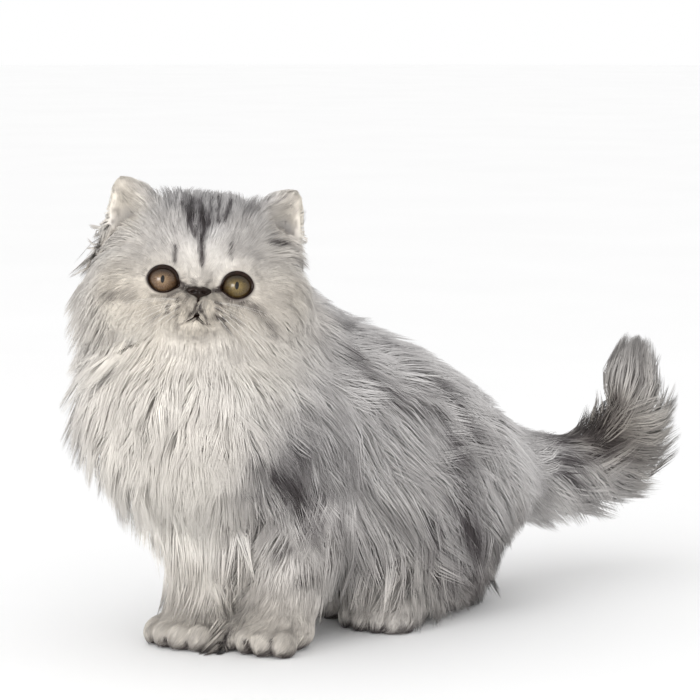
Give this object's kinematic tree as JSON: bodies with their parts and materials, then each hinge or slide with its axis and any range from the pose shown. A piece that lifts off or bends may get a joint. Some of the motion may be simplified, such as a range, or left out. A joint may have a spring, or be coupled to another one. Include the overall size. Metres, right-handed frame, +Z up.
{
  "type": "persian cat",
  "caption": "Long-haired silver tabby cat, life size, standing in a low crouch with its head turned to its left and its plumed tail out behind, curled up at the end.",
  "frame": {"origin": "middle of the model's bounding box, on the floor under its soles", "axes": "+Z up, the trunk faces -Y with the tail towards +Y, the cat's left side is +X; the head is turned 38 degrees to the cat's left"},
  "size_m": [0.1956, 0.56, 0.3153],
  "materials": {
    "white_coat": "long soft cream-white hair with grey tips",
    "grey_coat": "long soft silver-grey hair with darker bars",
    "smoke_coat": "long dark smoky hair",
    "eye": "wet, hazel iris with an upright pupil",
    "nose_leather": "fine-grained damp skin"
  },
  "bodies": {
    "root": {"abdomen": "grey_coat", "chest": "white_coat", "ear_left": "white_coat", "ear_right": "white_coat", "eye_left": "eye", "eye_right": "eye", "foreleg_left": "white_coat", "foreleg_right": "white_coat", "forepaw_left": "white_coat", "forepaw_right": "white_coat", "head": "white_coat", "hindpaw_left": "grey_coat", "hindpaw_right": "grey_coat", "neck": "white_coat", "nose": "nose_leather", "rump": "grey_coat", "tail_base": "grey_coat", "tail_middle": "smoke_coat", "tail_tip": "grey_coat", "thigh_left": "grey_coat", "thigh_right": "grey_coat"}
  },
  "joints": []
}
